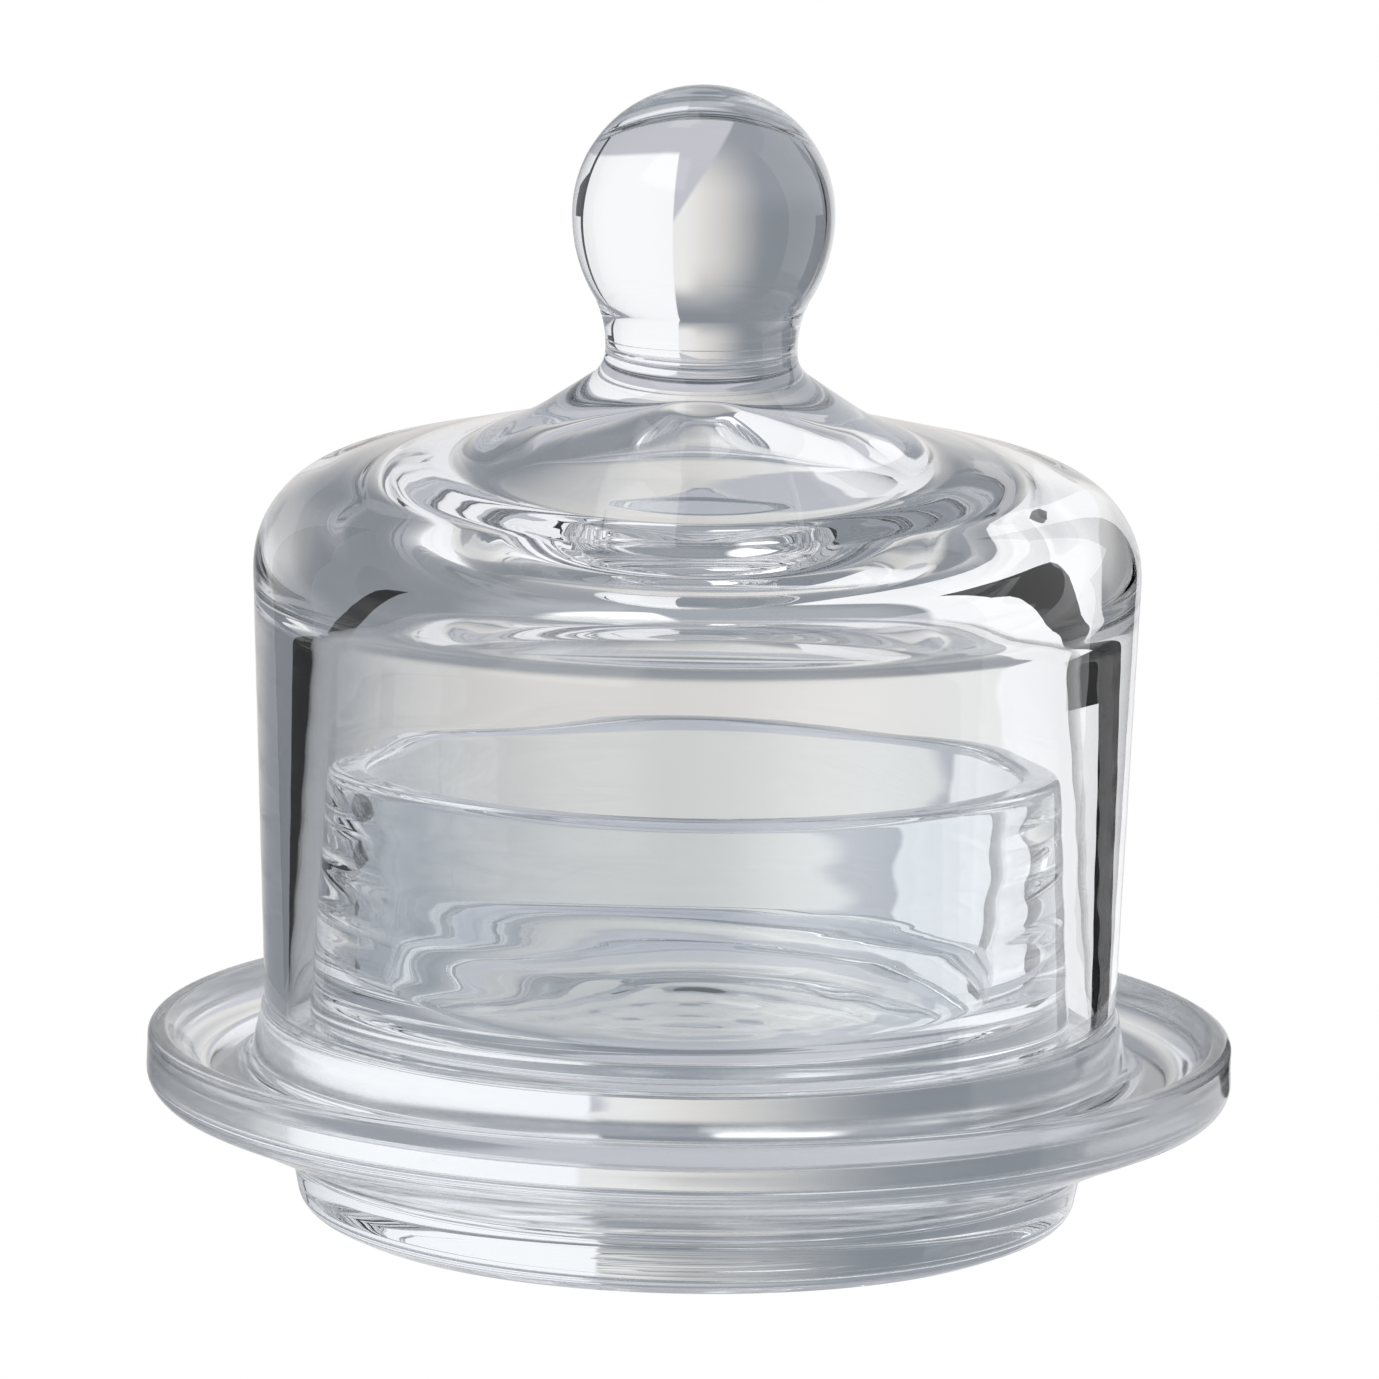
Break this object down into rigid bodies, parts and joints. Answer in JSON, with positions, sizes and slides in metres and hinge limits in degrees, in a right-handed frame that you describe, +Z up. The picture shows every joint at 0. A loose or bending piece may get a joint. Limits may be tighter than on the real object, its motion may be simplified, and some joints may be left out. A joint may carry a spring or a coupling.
{
  "type": "covered glass dish",
  "caption": "Small clear glass dish on a low round foot, with a saucer-like plate, a central cup for butter, and a loose domed lid with a ball knob.",
  "frame": {"origin": "middle of the underside of the foot, in the plane of its resting ring", "axes": "+Z up along the axis of the dish, from the foot to the knob; X and Y are level and equal, because the dish is round"},
  "size_m": [0.1044, 0.1044, 0.1105],
  "materials": {
    "base_glass": "clear fire-polished pressed glass, faintly cool in its thickest parts",
    "lid_glass": "clear fire-polished pressed glass"
  },
  "bodies": {
    "base": {"base_foot": "base_glass", "base_plate": "base_glass", "base_cup": "base_glass"},
    "lid": {"lid_dome": "lid_glass", "lid_knob": "lid_glass"}
  },
  "joints": [
    {"name": "lid_lift", "type": "slide", "parent": "base", "child": "lid", "axis": [0, 0, 1], "range_m": [0, 0.05]}
  ]
}
